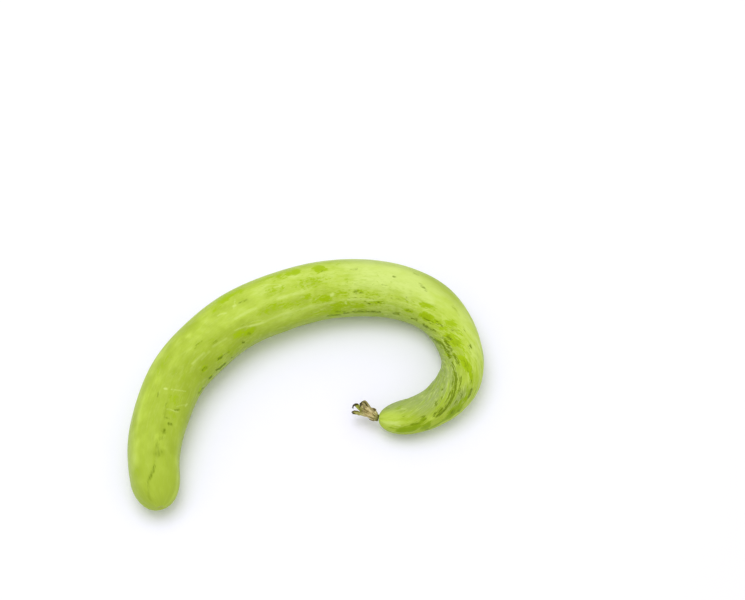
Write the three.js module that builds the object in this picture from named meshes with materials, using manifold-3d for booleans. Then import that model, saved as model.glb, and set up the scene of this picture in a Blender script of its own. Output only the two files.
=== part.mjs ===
// A snake cucumber, also called an Armenian cucumber, lying on its side as picked.
// It is one long ribbed fruit, bent into an arch with a hooked tip, and the tip still
// carries its withered flower: a short calyx tube, five sepals and five dry petals.
//
// Millimetres, +Z up. The fruit lies along the XY plane and rests on z = 0. The origin is
// the centre of the footprint of the whole thing. Every piece is first made straight, with
// +Y running from the stem end towards the flower, and is then bent along its middle line.

import * as THREE from 'three';
import { mergeVertices } from 'three/addons/utils/BufferGeometryUtils.js';
import Module from 'manifold-3d';

const wasm = await Module();
wasm.setup();

// ---------------------------------------------------------------- driving dimensions, mm

// The fruit from its stem end to its flower end, at stations that are equally far apart:
// the heading of its middle line in degrees from +X, and its radius.
const STATION_STEP = 30.35;
const FRUIT_STATIONS = [
  { heading: 107, radius: 15.9 },
  { heading: 97, radius: 17.7 },
  { heading: 81, radius: 19.3 },
  { heading: 72, radius: 20.4 },
  { heading: 53, radius: 21.1 },
  { heading: 44, radius: 21.4 },
  { heading: 28, radius: 21.6 },
  { heading: 20, radius: 21.8 },
  { heading: 7, radius: 21.6 },
  { heading: -4, radius: 21.0 },
  { heading: -24, radius: 19.4 },
  { heading: -57, radius: 17.3 },
  { heading: -82, radius: 15.7 },
  { heading: -125, radius: 15.6 },
  { heading: -159, radius: 13.5 },
  { heading: -186, radius: 13.1 },
];
const FRUIT_LENGTH = STATION_STEP * (FRUIT_STATIONS.length - 1);

const STEM_CAP = { length: 22, power: 2.2 };   // the rounding of the blunt stem end
const TIP_CAP = { length: 30, power: 2.3 };    // the longer rounding of the flower end
const RIB_COUNT = 12;                          // shallow lengthwise ribs
const RIB_DEPTH = 0.45;
const TWIST = { from: 305, to: 465, turn: 250 };    // the ribs wind round the hooked end
const REST_SINK = 0.6;                         // how much the ground flattens the underside

const AROUND = 48;                             // facets around the fruit
const CAP_RINGS = 7;                           // rings in each rounded end
const BODY_RINGS = 66;                         // rings between the two ends

const PIECE_GAP = 0.3;                         // clearance between neighbouring pieces

// The withered flower. It turns further round than the fruit's tip does.
const FLOWER_STEP = 4;
const FLOWER_TURNS = [-8, -34, -38, -34, -27, -20, -14];
const CALYX = { length: 4.2, neckRadius: 2.5, rimRadius: 3.9 };
const SEPAL = { count: 5, length: 3.4, baseRadius: 0.55, start: 1.9, standOff: 0.95 };
const PETAL_THICKNESS = 0.7;
const PETAL_BASE_RADIUS = 3.3;
const PETALS = [
  // roll: where the petal sits around the flower, in degrees from its right side towards
  // its top; belly: how far its middle bulges; flare: how far its tip turns outwards
  { name: 'petal_1', roll: 60, length: 13.4, belly: 2.2, flare: -1.0, reach: 28 },
  { name: 'petal_2', roll: 119, length: 12.6, belly: 1.4, flare: -1.3, reach: 27 },
  { name: 'petal_3', roll: 170, length: 18.5, belly: 0.9, flare: -2.0, reach: 20 },
  { name: 'petal_4', roll: 222, length: 15.8, belly: 1.8, flare: 4.0, reach: 28 },
  { name: 'petal_5', roll: 335, length: 13.0, belly: 1.2, flare: -1.0, reach: 28 },
];

// ---------------------------------------------------------------- helpers

// A smooth curve through equally spaced values, read by the distance along them.
function smoothValues(values, step) {
  const points = values.map((value, i) => new THREE.Vector3(i * step, value, 0));
  const curve = new THREE.CatmullRomCurve3(points, false, 'catmullrom', 0.5);
  const length = step * (values.length - 1);
  return (distance) => curve.getPoint(THREE.MathUtils.clamp(distance / length, 0, 1)).y;
}

// A middle line that starts at a point and follows the given headings. Its heightAt says
// how high above the ground it runs.
function middleLine(start, headingAt, length, heightAt) {
  const step = 0.5;
  const nodes = [start.clone()];
  for (let s = 0; s < length; s += step) {
    const heading = THREE.MathUtils.degToRad(headingAt(s + step / 2));
    const last = nodes[nodes.length - 1];
    nodes.push(new THREE.Vector2(
      last.x + step * Math.cos(heading), last.y + step * Math.sin(heading)));
  }
  const pointAt = (s) => {
    const index = THREE.MathUtils.clamp(Math.floor(s / step), 0, nodes.length - 2);
    const point = nodes[index].clone().lerp(nodes[index + 1], s / step - index);
    return new THREE.Vector3(point.x, point.y, heightAt(s));
  };
  return { pointAt, headingAt };
}

// Bends a straight piece: its y becomes the distance along the line, its x the offset to
// the line's right, and its z the height above the line.
function bend(geometry, line) {
  const position = geometry.attributes.position;
  const vertex = new THREE.Vector3();
  for (let i = 0; i < position.count; i += 1) {
    vertex.fromBufferAttribute(position, i);
    const heading = THREE.MathUtils.degToRad(line.headingAt(vertex.y));
    const middle = line.pointAt(vertex.y);
    position.setXYZ(
      i,
      middle.x + vertex.x * Math.sin(heading),
      middle.y - vertex.x * Math.cos(heading),
      middle.z + vertex.z);
  }
  return geometry;
}

// One closed mesh: equal corners become one, and triangles without area are dropped.
function closed(geometry) {
  geometry.deleteAttribute('normal');
  geometry.deleteAttribute('uv');
  const merged = mergeVertices(geometry, 1e-4);
  const index = merged.index.array;
  const kept = [];
  for (let i = 0; i < index.length; i += 3) {
    const [a, b, c] = [index[i], index[i + 1], index[i + 2]];
    if (a !== b && b !== c && c !== a) kept.push(a, b, c);
  }
  merged.setIndex(kept);
  return merged;
}

function toSolid(geometry) {
  const body = closed(geometry);
  return new wasm.Manifold(new wasm.Mesh({
    numProp: 3,
    vertProperties: new Float32Array(body.attributes.position.array),
    triVerts: new Uint32Array(body.index.array),
  }));
}

function toGeometry(solid) {
  const mesh = solid.getMesh();
  const geometry = new THREE.BufferGeometry();
  geometry.setAttribute('position', new THREE.BufferAttribute(mesh.vertProperties, 3));
  geometry.setIndex(new THREE.BufferAttribute(mesh.triVerts, 1));
  return geometry;
}

function moveVertices(geometry, move) {
  const position = geometry.attributes.position;
  const vertex = new THREE.Vector3();
  for (let i = 0; i < position.count; i += 1) {
    vertex.fromBufferAttribute(position, i);
    move(vertex);
    position.setXYZ(i, vertex.x, vertex.y, vertex.z);
  }
  return geometry;
}

// How full a rounded end is, from 0 at its pole to 1 where the rounding ends.
function capFullness(distance, cap) {
  const inward = THREE.MathUtils.clamp(1 - distance / cap.length, 0, 1);
  return (1 - inward ** cap.power) ** (1 / cap.power);
}

// ---------------------------------------------------------------- the fruit

const fruitHeading = smoothValues(FRUIT_STATIONS.map((at) => at.heading), STATION_STEP);
const fruitRadius = smoothValues(FRUIT_STATIONS.map((at) => at.radius), STATION_STEP);
const fruitLine = middleLine(
  new THREE.Vector2(0, 0), fruitHeading, FRUIT_LENGTH, (s) => fruitRadius(s) - REST_SINK);

// Distances of the rings along the fruit, closer together in the rounded ends.
function ringDistances() {
  const stem = [];
  const tip = [];
  for (let i = 0; i < CAP_RINGS; i += 1) {
    const turn = (i / CAP_RINGS) * (Math.PI / 2);
    stem.push(STEM_CAP.length * (1 - Math.cos(turn)));
    tip.unshift(FRUIT_LENGTH - TIP_CAP.length * (1 - Math.cos(turn)));
  }
  const bodyLength = FRUIT_LENGTH - STEM_CAP.length - TIP_CAP.length;
  const body = [];
  for (let i = 0; i <= BODY_RINGS; i += 1) {
    body.push(STEM_CAP.length + (bodyLength * i) / BODY_RINGS);
  }
  return [...stem, ...body, ...tip];
}

function makeFruit() {
  const profile = ringDistances().map((s) => {
    const fullness = capFullness(s, STEM_CAP) * capFullness(FRUIT_LENGTH - s, TIP_CAP);
    return new THREE.Vector2(fruitRadius(s) * fullness, s);
  });
  const straight = new THREE.LatheGeometry(profile, AROUND);
  moveVertices(straight, (vertex) => {
    const radius = Math.hypot(vertex.x, vertex.z);
    if (radius < 1e-6) return;
    const twist = TWIST.turn * THREE.MathUtils.smoothstep(vertex.y, TWIST.from, TWIST.to);
    const angle = Math.atan2(vertex.x, vertex.z) + THREE.MathUtils.degToRad(twist);
    const groove = (RIB_DEPTH * (1 - Math.cos(RIB_COUNT * angle))) / 2;
    const fade = Math.min(1, radius / fruitRadius(vertex.y)) ** 2;
    const scale = 1 - (groove * fade) / radius;
    vertex.x *= scale;
    vertex.z *= scale;
  });
  const fruit = toSolid(bend(straight, fruitLine));
  const ground = new THREE.BoxGeometry(800, 800, 40);
  ground.translate(0, 0, -20);
  return toGeometry(fruit.subtract(toSolid(ground)));
}

// ---------------------------------------------------------------- the withered flower

const tip = fruitLine.pointAt(FRUIT_LENGTH);
const tipHeading = fruitHeading(FRUIT_LENGTH);
const flowerHeading = smoothValues(FLOWER_TURNS.map((turn) => tipHeading + turn), FLOWER_STEP);
const flowerStart = new THREE.Vector2(
  tip.x + PIECE_GAP * Math.cos(THREE.MathUtils.degToRad(tipHeading)),
  tip.y + PIECE_GAP * Math.sin(THREE.MathUtils.degToRad(tipHeading)));
const flowerLine = middleLine(
  flowerStart, flowerHeading, FLOWER_STEP * (FLOWER_TURNS.length - 1), () => tip.z);

function calyxRadius(s) {
  const flare = THREE.MathUtils.smoothstep(s, 0.8, CALYX.length);
  return THREE.MathUtils.lerp(CALYX.neckRadius, CALYX.rimRadius, flare);
}

function makeCalyxTube() {
  const rings = 6;
  const profile = [new THREE.Vector2(0, 0)];
  for (let i = 0; i <= rings; i += 1) {
    const s = (CALYX.length * i) / rings;
    profile.push(new THREE.Vector2(calyxRadius(s), s));
  }
  profile.push(new THREE.Vector2(0, CALYX.length));
  return closed(bend(new THREE.LatheGeometry(profile, 20), flowerLine));
}

function makeSepal(number) {
  // a narrow point that stands off the flare of the tube, between two petals
  const roll = THREE.MathUtils.degToRad(PETALS[number].roll + 36);
  const sepal = new THREE.ConeGeometry(SEPAL.baseRadius, SEPAL.length, 8, 3);
  moveVertices(sepal, (vertex) => {
    const s = SEPAL.start + SEPAL.length / 2 + vertex.y;
    const out = calyxRadius(Math.min(s, CALYX.length)) + SEPAL.standOff + vertex.x;
    vertex.set(
      out * Math.cos(roll) - vertex.z * Math.sin(roll),
      s,
      out * Math.sin(roll) + vertex.z * Math.cos(roll));
  });
  return closed(bend(sepal, flowerLine));
}

// A dry petal is a thin strip that follows the flower round, bulges and narrows to a point.
function makePetal({ roll, length, belly, flare, reach }) {
  const petal = new THREE.BoxGeometry(2, length, PETAL_THICKNESS, 4, 10, 1);
  moveVertices(petal, (vertex) => {
    const along = THREE.MathUtils.clamp(vertex.y / length + 0.5, 0, 1);
    const across = vertex.x;
    const narrowing = Math.sqrt(1 - 0.85 * along ** 3);
    const angle = THREE.MathUtils.degToRad(roll - reach * across * narrowing);
    const out = PETAL_BASE_RADIUS
      + belly * Math.sin(Math.PI * along ** 0.8)
      + flare * along ** 3
      + vertex.z;
    vertex.set(
      out * Math.cos(angle),
      CALYX.length + PIECE_GAP + along * length,
      out * Math.sin(angle));
  });
  return closed(bend(petal, flowerLine));
}

// ---------------------------------------------------------------- the whole thing

const skin = new THREE.MeshStandardMaterial({ color: 0xaecb4a, roughness: 0.42, metalness: 0 });
const dryTube = new THREE.MeshStandardMaterial({ color: 0x7d6a35, roughness: 0.85, metalness: 0 });
const dryPetal = new THREE.MeshStandardMaterial({ color: 0xb39a62, roughness: 0.9, metalness: 0 });
const drySepal = new THREE.MeshStandardMaterial({ color: 0x4f431f, roughness: 0.9, metalness: 0 });

const cucumber = new THREE.Group();

function addPiece(name, geometry, material) {
  const mesh = new THREE.Mesh(geometry, material.clone());
  mesh.name = name;
  cucumber.add(mesh);
}

addPiece('fruit', makeFruit(), skin);
addPiece('calyx_tube', makeCalyxTube(), dryTube);
for (const petal of PETALS) addPiece(petal.name, makePetal(petal), dryPetal);
for (let i = 0; i < SEPAL.count; i += 1) addPiece(`sepal_${i + 1}`, makeSepal(i), drySepal);

const box = new THREE.Box3().setFromObject(cucumber);
const centre = box.getCenter(new THREE.Vector3());
cucumber.position.set(-centre.x, -centre.y, -box.min.z);

export default cucumber;
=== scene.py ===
# %% [markdown]
# # A snake cucumber with its withered flower
#
# A snake cucumber is a long, soft-ribbed fruit with a thin, pale green skin. This one was picked
# without its stalk, lies on its side, and still carries the dry flower it grew from. The fruit is
# one piece, so it is one mesh. The flower has a short tube, five sepals and five petals, and each
# is a mesh of its own. Everything is in metres, in the frame of the packed model, so a piece is
# made where that model says and nothing is fitted afterwards.

# %% Load the frame
import math

import bmesh
import bpy
import numpy as np
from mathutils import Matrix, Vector, noise


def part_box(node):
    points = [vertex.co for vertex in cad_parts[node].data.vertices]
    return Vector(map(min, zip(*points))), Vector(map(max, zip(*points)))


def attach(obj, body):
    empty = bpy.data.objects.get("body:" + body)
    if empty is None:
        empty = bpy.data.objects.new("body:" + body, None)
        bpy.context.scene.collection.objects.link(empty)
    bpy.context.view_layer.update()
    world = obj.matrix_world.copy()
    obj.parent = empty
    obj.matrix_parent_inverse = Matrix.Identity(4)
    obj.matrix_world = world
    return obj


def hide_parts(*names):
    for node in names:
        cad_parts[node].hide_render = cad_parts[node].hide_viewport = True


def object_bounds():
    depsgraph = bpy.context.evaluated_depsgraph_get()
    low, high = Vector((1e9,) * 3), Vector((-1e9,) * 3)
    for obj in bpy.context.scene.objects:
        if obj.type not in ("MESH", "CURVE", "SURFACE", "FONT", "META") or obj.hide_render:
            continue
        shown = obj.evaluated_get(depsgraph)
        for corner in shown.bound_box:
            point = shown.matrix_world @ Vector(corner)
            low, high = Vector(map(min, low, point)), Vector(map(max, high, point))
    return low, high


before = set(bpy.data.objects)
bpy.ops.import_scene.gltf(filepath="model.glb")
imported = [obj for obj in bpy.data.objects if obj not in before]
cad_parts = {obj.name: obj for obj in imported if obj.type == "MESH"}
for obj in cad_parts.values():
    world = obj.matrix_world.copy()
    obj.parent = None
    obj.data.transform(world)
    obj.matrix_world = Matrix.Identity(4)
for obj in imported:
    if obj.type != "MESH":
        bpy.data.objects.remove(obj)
cad_low, cad_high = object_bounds()
cad_size = cad_high - cad_low
MM = 0.001
print("the packed model measures, in mm:", [round(side / MM, 1) for side in cad_size])

# %% [markdown]
# ## Camera
#
# The camera looks down at the fruit from in front, as a person at a table does. A long lens keeps
# the near end from looking bigger than the far one. It aims at a point on the table behind the
# bend and to its right, so that the fruit lies low and to the left in the picture.

# %% Camera
VIEW_ELEVATION = math.radians(57)
VIEW_DISTANCE = 1.319
LENS = 85
AIM_RIGHT = 0.180        # from the middle of the packed model, as a share of its width
AIM_BEHIND = 0.407       # the same, as a share of its depth

aim = Vector((AIM_RIGHT * cad_size.x, AIM_BEHIND * cad_size.y, 0))
back = Vector((0, -math.cos(VIEW_ELEVATION), math.sin(VIEW_ELEVATION)))
camera = bpy.data.objects.new("camera", bpy.data.cameras.new("camera"))
bpy.context.scene.collection.objects.link(camera)
camera.data.lens = LENS
camera.location = aim + back * VIEW_DISTANCE
camera.rotation_mode = "QUATERNION"
camera.rotation_quaternion = (-back).to_track_quat("-Z", "Y")
bpy.context.scene.camera = camera
bpy.context.scene.view_settings.view_transform = "Standard"
print("the camera stands at", [round(x, 3) for x in camera.location])

# %% [markdown]
# ## Short words for node trees
#
# The room, the table, the skin and the dry flower are all finished with trees of nodes. Their
# nodes could be added and linked one by one, but all the trees are built from the same few moves:
# feed a node, read an attribute, work out a value, turn it into a mask with a soft edge, and lay
# one colour over another through a mask. Each move gets a short word here, so that a finish reads
# like a recipe.

# %% Helpers for nodes
class Nodes:
    """A tree of nodes in the making."""

    def __init__(self, tree):
        self.tree = tree

    def feed(self, node, values):
        """Feeds a node's inputs, by name or number. A socket is linked, and a plain value set."""
        for name, value in values.items():
            socket = node.inputs[name]
            if isinstance(value, bpy.types.NodeSocket):
                self.tree.links.new(value, socket)
            elif isinstance(value, tuple):
                socket.default_value = (*value, 1)
            else:
                socket.default_value = value

    def add(self, kind, inputs=None, **settings):
        """Adds a node, sets its properties by name and feeds its inputs."""
        node = self.tree.nodes.new(kind)
        for name, value in settings.items():
            setattr(node, name, value)
        self.feed(node, inputs or {})
        return node

    def attribute(self, name, output="Fac"):
        return self.add("ShaderNodeAttribute", attribute_name=name).outputs[output]

    def math(self, operation, first, second=0.0, third=0.0):
        inputs = {0: first, 1: second, 2: third}
        return self.add("ShaderNodeMath", inputs, operation=operation).outputs[0]

    def mask(self, value, low, high, strength=1.0):
        """0 at low and full strength at high, with a smooth change between them only."""
        inputs = {"Value": value, "From Min": low, "From Max": high, "To Max": strength}
        node = self.add("ShaderNodeMapRange", inputs, interpolation_type="SMOOTHSTEP")
        return node.outputs["Result"]

    def over(self, under, colour, mask):
        """Lays a colour over another one through a mask."""
        inputs = {"Factor": mask, "A": under, "B": colour}
        return self.add("ShaderNodeMix", inputs, data_type="RGBA").outputs["Result"]

    def relief(self, height, depth_mm, strength):
        """A grain too fine to model, which only turns the light."""
        inputs = {"Height": height, "Distance": depth_mm * MM, "Strength": strength}
        return self.add("ShaderNodeBump", inputs).outputs["Normal"]


def new_finish(name):
    """A new material with its tree of nodes and its shader."""
    material = bpy.data.materials.new(name)
    material.use_nodes = True
    return material, Nodes(material.node_tree), material.node_tree.nodes["Principled BSDF"]


print("the short words are", [word for word in vars(Nodes) if word[0] != "_"])

# %% [markdown]
# ## Studio
#
# A white table in a white room gives an even light with hardly any shadow. Most of the light comes
# from the room all around, the rest from one very large soft lamp high above. It hangs a little
# behind the fruit and to its left, so the soft shadow falls inside the bend. Both are a little
# cool, because the fruit throws green light on the table around it, and this keeps its shadow
# grey. They are at a level at which a colour looks as it is written.
#
# The table that lights the fruit from below is pale grey, and would show as grey. So the camera
# sees a white one in its place, which glows a little far from the fruit, where less light gets
# to it.

# %% Room and lamp
LAMP_PLACE = Vector((-0.25, 0.20, 1.50))
LAMP_SIDE = 1.1
LAMP_POWER = 7.8
LAMP_COLOUR = (1.0, 0.99, 1.2)
ROOM_LIGHT = 0.74
ROOM_COLOUR = (1.0, 0.99, 1.08)
WHITE = (1, 1, 1)


def seen_directly(nodes):
    """A value of 1 for rays from the camera, from a gloss or through glass, and 0 for the rest."""
    path = nodes.add("ShaderNodeLightPath").outputs
    seen = nodes.math("MAXIMUM", path["Is Camera Ray"], path["Is Glossy Ray"])
    return nodes.math("MAXIMUM", seen, path["Is Transmission Ray"])


def make_room():
    world = bpy.data.worlds.new("white_room")
    world.use_nodes = True
    nodes = Nodes(world.node_tree)
    light = tuple(ROOM_LIGHT * part for part in ROOM_COLOUR)
    shown = nodes.over(light, WHITE, seen_directly(nodes))
    nodes.feed(world.node_tree.nodes["Background"], {"Color": shown})
    bpy.context.scene.world = world


def make_lamp():
    lamp = bpy.data.objects.new("soft_lamp", bpy.data.lights.new("soft_lamp", "AREA"))
    bpy.context.scene.collection.objects.link(lamp)
    lamp.data.size = LAMP_SIDE
    lamp.data.energy = LAMP_POWER
    lamp.data.color = LAMP_COLOUR
    lamp.location = LAMP_PLACE
    lamp.rotation_mode = "QUATERNION"
    lamp.rotation_quaternion = (-LAMP_PLACE).to_track_quat("-Z", "Y")


make_room()
make_lamp()
print("the lamp hangs", round(LAMP_PLACE.length, 2), "m from the fruit")

# %% Table
TABLE_SIDE = 12
TABLE_COLOUR = (0.8, 0.8, 0.8)
TABLE_AS_SEEN = (1.03, 1.03, 1.03)
GLOW_FROM = 0.4                 # metres from the middle of the fruit
GLOW_FULL = 1.6
GLOW = 0.4


def mesh_from(bm, name):
    mesh = bpy.data.meshes.new(name)
    bm.to_mesh(mesh)
    bm.free()
    return mesh


def add_object(name, mesh, material):
    piece = bpy.data.objects.new(name, mesh)
    bpy.context.scene.collection.objects.link(piece)
    mesh.materials.append(material)
    return piece


def make_table():
    bm = bmesh.new()
    bmesh.ops.create_grid(bm, x_segments=1, y_segments=1, size=TABLE_SIDE / 2)
    material, nodes, shader = new_finish("white_table")
    seen = seen_directly(nodes)
    place = nodes.add("ShaderNodeTexCoord").outputs["Object"]
    distance = nodes.add("ShaderNodeVectorMath", {0: place}, operation="LENGTH").outputs["Value"]
    glow = nodes.math("MULTIPLY", nodes.mask(distance, GLOW_FROM, GLOW_FULL, GLOW), seen)
    nodes.feed(shader, {
        "Base Color": nodes.over(TABLE_COLOUR, TABLE_AS_SEEN, seen),
        "Roughness": 1,
        "Specular IOR Level": 0,
        "Emission Color": WHITE,
        "Emission Strength": glow,
    })
    return add_object("table", mesh_from(bm, "table"), material)


make_table()
print("the table is", TABLE_SIDE, "m wide")

# %% [markdown]
# ## The fruit's course
#
# The fruit is an arch that tightens into a hook. Such a shape could be drawn as a curve with
# handles, but a grower would describe it by walking along it: so far, and turn so much. So it is
# given as a heading and a girth at stations that are equally far apart, with a smooth curve
# through each. A straight fruit is then made first, where ribs, folds and colours are easy to
# place by their distance from the stem end and their angle around the fruit, and is bent last.
#
# The angle is 0 on top. It grows towards the inner side of the bend, which is at 90 degrees, and
# -90 degrees is the outer side.

# %% Stations and the smooth curve through them
STATION_STEP = 30.35 * MM
HEADINGS = [107, 97, 81, 72, 53, 44, 28, 20, 7, -4, -24, -57, -82, -125, -159, -186]
RADII = [15.9, 17.7, 19.3, 20.4, 21.1, 21.4, 21.6, 21.8,
         21.6, 21.0, 19.4, 17.3, 15.7, 15.6, 13.5, 13.1]
FRUIT_LENGTH = STATION_STEP * (len(HEADINGS) - 1)
LINE_STRIDE = 0.5 * MM          # the middle line is walked in steps of this length
JUST_SHORT = 1e-9               # keeps the end of a curve between its last two stations


def smooth_values(values, step, distance):
    """Reads a smooth curve through equally spaced values at the given distances."""
    values = np.asarray(values, float)
    slope = np.gradient(values)
    place = np.clip(np.asarray(distance, float) / step, 0, len(values) - 1 - JUST_SHORT)
    before = place.astype(int)
    part = place - before
    ease = part * part * (3 - 2 * part)
    return ((1 - ease) * values[before] + ease * values[before + 1]
            + part * (1 - part) ** 2 * slope[before]
            - part ** 2 * (1 - part) * slope[before + 1])


def middle_line(start, headings, step, distance):
    """Where a line of these headings has got to at the given distances, and its heading there."""
    length = step * (len(headings) - 1)
    ticks = np.linspace(0, length, 1 + round(length / LINE_STRIDE))
    turned = np.radians(smooth_values(headings, step, (ticks[1:] + ticks[:-1]) / 2))
    stride = ticks[1] - ticks[0]
    x = start[0] + np.concatenate([[0], np.cumsum(stride * np.cos(turned))])
    y = start[1] + np.concatenate([[0], np.cumsum(stride * np.sin(turned))])
    heading = np.radians(smooth_values(headings, step, distance))
    return np.interp(distance, ticks, x), np.interp(distance, ticks, y), heading


def bent(start, headings, step, along, right, height):
    """Bends a straight piece: its place along the line, to the line's right, and its height."""
    x, y, heading = middle_line(start, headings, step, along)
    return np.stack([x + right * np.sin(heading), y - right * np.cos(heading), height], axis=1)


def body_radius(distance):
    return smooth_values(RADII, STATION_STEP, distance) * MM


print("the fruit is", round(FRUIT_LENGTH / MM), "mm long along its middle")

# %% [markdown]
# ## The fruit's body
#
# The body is turned like a vase: half an outline is spun round the fruit's own axis. The outline
# has a ring every few millimetres, closer together in the rounded ends, and the spun body is then
# cut finer all over, to about 1 mm, so that ribs and folds are real shape and not only shading.

# %% Spin the straight fruit
STEM_CAP = (22 * MM, 2.2)       # how far the stem end's rounding reaches, and how full it is
TIP_CAP = (30 * MM, 2.3)
OUTLINE_RINGS_BODY = 96
OUTLINE_RINGS_CAP = 12
SPIN_STEPS = 48
FINER_CUTS = 3
SAME_PLACE = 1e-7               # points closer than this, in metres, are merged


def cap_fullness(distance, cap):
    """How full a rounded end is, from 0 at its pole to 1 where the rounding stops."""
    reach, power = cap
    inward = np.clip(1 - distance / reach, 0, 1)
    return (1 - inward ** power) ** (1 / power)


def fullness_at(distance):
    return cap_fullness(distance, STEM_CAP) * cap_fullness(FRUIT_LENGTH - distance, TIP_CAP)


def outline_distances():
    quarter = np.linspace(0, math.pi / 2, OUTLINE_RINGS_CAP, endpoint=False)
    stem = STEM_CAP[0] * (1 - np.cos(quarter))
    tip = FRUIT_LENGTH - TIP_CAP[0] * (1 - np.cos(quarter))
    body = np.linspace(STEM_CAP[0], FRUIT_LENGTH - TIP_CAP[0], OUTLINE_RINGS_BODY + 1)
    return np.concatenate([stem, body, tip[::-1]])


def spun(outline, steps):
    """Spins an outline of (distance, radius) round the Y axis into a closed body."""
    bm = bmesh.new()
    verts = [bm.verts.new((0, distance, radius)) for distance, radius in outline]
    edges = [bm.edges.new(pair) for pair in zip(verts, verts[1:])]
    bmesh.ops.spin(bm, geom=verts + edges, cent=(0, 0, 0), axis=(0, 1, 0),
                   angle=2 * math.pi, steps=steps, use_merge=True)
    bmesh.ops.remove_doubles(bm, verts=bm.verts, dist=SAME_PLACE)
    return bm


def outward_mesh(bm, name):
    """Makes a mesh whose faces all point outwards."""
    bmesh.ops.recalc_face_normals(bm, faces=bm.faces)
    return mesh_from(bm, name)


def spun_fruit():
    distances = outline_distances()
    bm = spun(zip(distances, body_radius(distances) * fullness_at(distances)), SPIN_STEPS)
    bmesh.ops.subdivide_edges(bm, edges=bm.edges, cuts=FINER_CUTS, use_grid_fill=True)
    return outward_mesh(bm, "cucumber")


fruit_mesh = spun_fruit()
print("the spun fruit has", len(fruit_mesh.vertices), "points")

# %% [markdown]
# ## Places on the skin
#
# A real fruit is never turned this true, and all that is added to it below has a place of its own.
# A place is a distance from the stem end and an angle around the fruit, so both are worked out for
# every point of the mesh. The ribs wind round the hooked end, because the fruit grew with a twist:
# the pattern angle is the one that turns with them.

# %% Distance and angle of every point
TWIST_FROM = 305 * MM
TWIST_TO = 465 * MM
WHOLE_TWIST = math.radians(250)
GIRTH = 20 * MM                 # one radius for the whole pattern, so that it never slides


def smoothstep(value, low, high):
    """Rises from 0 to 1 between low and high, with no corner at either."""
    part = np.clip((value - low) / (high - low), 0, 1)
    return part * part * (3 - 2 * part)


def mound(distance, width):
    """1 at no distance, falling softly to almost nothing within twice the width."""
    return np.exp(-(distance / width) ** 2)


def read_points(mesh):
    flat = np.empty(len(mesh.vertices) * 3)
    mesh.vertices.foreach_get("co", flat)
    return flat.reshape(-1, 3)


def move_points(mesh, points):
    mesh.vertices.foreach_set("co", points.ravel())
    mesh.update()
    mesh.shade_smooth()


def twist_at(distance):
    return WHOLE_TWIST * smoothstep(distance, TWIST_FROM, TWIST_TO)


straight = read_points(fruit_mesh)
along = np.clip(straight[:, 1], 0, FRUIT_LENGTH)
angle = np.arctan2(straight[:, 0], straight[:, 2])
pattern_angle = angle + twist_at(along)
skin_place = np.stack([GIRTH * np.sin(pattern_angle), along, GIRTH * np.cos(pattern_angle)], axis=1)
print("the points lie up to", round(along.max() / MM), "mm from the stem end")

# %% [markdown]
# ## Ribs and folds
#
# Twelve shallow ribs run along the fruit. Its inner side is pressed into fine folds, deepest in
# the hook. Each of these could be modelled by hand, but there are many and all are alike, so each
# is a height that is added to the radius at every point, as a sculptor's brush would add it. Smooth
# noise makes them wander and fade.

# %% Sculpt the ribs and the folds
RIB_COUNT = 12
RIB_DEPTH = 0.45 * MM
RIB_WANDER = 0.16               # radians to either side
HOOK_FOLDS = 0.22 * MM
BAY_FOLDS = 0.09 * MM           # on the inner side of the wide part of the bend
INNER_SIDE = math.radians(95)


def rise(low_mm, high_mm):
    """Rises from 0 to 1 along the fruit, between two distances from the stem end."""
    return smoothstep(along, low_mm * MM, high_mm * MM)


def bumps(points, across_mm, along_mm, seed):
    """Smooth noise from about -1 to 1, whose bumps are about this wide and this long."""
    scale = Vector((1 / (across_mm * MM), 1 / (along_mm * MM), 1 / (across_mm * MM)))
    shift = Vector((seed * 7.1, seed * 3.7, seed * 5.3))
    return np.array([noise.noise(Vector(point) * scale + shift) for point in points])


wander = RIB_WANDER * bumps(skin_place, 60, 90, 1)
crest = 0.5 + 0.5 * np.cos(RIB_COUNT * (pattern_angle + wander))
rib_share = 0.5 + 0.5 * bumps(skin_place, 22, 60, 2)
rib_growth = 0.4 + 0.6 * rise(60, 200)      # they are lower at the stem end
ribs = RIB_DEPTH * (crest ** 1.5 - 1) * rib_share * rib_growth

inner = np.clip(np.cos(angle - INNER_SIDE), 0, 1)
hooked = rise(290, 340) * (1 - rise(415, 440))
bay = rise(70, 110) * (1 - hooked)
folds = HOOK_FOLDS * inner * hooked * bumps(skin_place, 2.6, 26, 3)
folds += BAY_FOLDS * inner * bay * bumps(skin_place, 3.2, 18, 4)
print("ribs are up to", round(np.ptp(ribs) / MM, 2), "mm high, folds", round(np.ptp(folds) / MM, 2))

# %% [markdown]
# ## Crease, puckers and dents
#
# The blunt stem end has one long crease with a low swelling beside it. The skin puckers where it
# meets the flower, and is a little uneven all over. The crease follows a path of places, so it
# needs the distance from each point to that path. The painted strokes below use the same measure.

# %% Sculpt the crease, the puckers and the dents
CREASE = [(4, -36), (8, -26), (12.5, -20), (16, -9), (20, 0), (25, 8), (34, 13), (44, 16), (52, 22)]
CREASE_DEPTH = 0.6 * MM
CREASE_WIDTH = 1.7 * MM
SWELLING_HEIGHT = 0.35 * MM
SWELLING_OFF = 6 * MM           # from the crease
SWELLING_WIDTH = 5 * MM
PUCKER_COUNT = 10
PUCKER_DEPTH = 1.1 * MM
PUCKER_REACH = 7 * MM
WAVE_HEIGHT = 0.5 * MM
DENT_HEIGHT = 0.13 * MM
FAR_OFF = 1.0                   # metres, further than any point


def turned_from(angle_now, degrees_there):
    """The angle between each point and a place, the short way round."""
    apart = angle_now - math.radians(degrees_there)
    return (apart + math.pi) % (2 * math.pi) - math.pi


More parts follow.
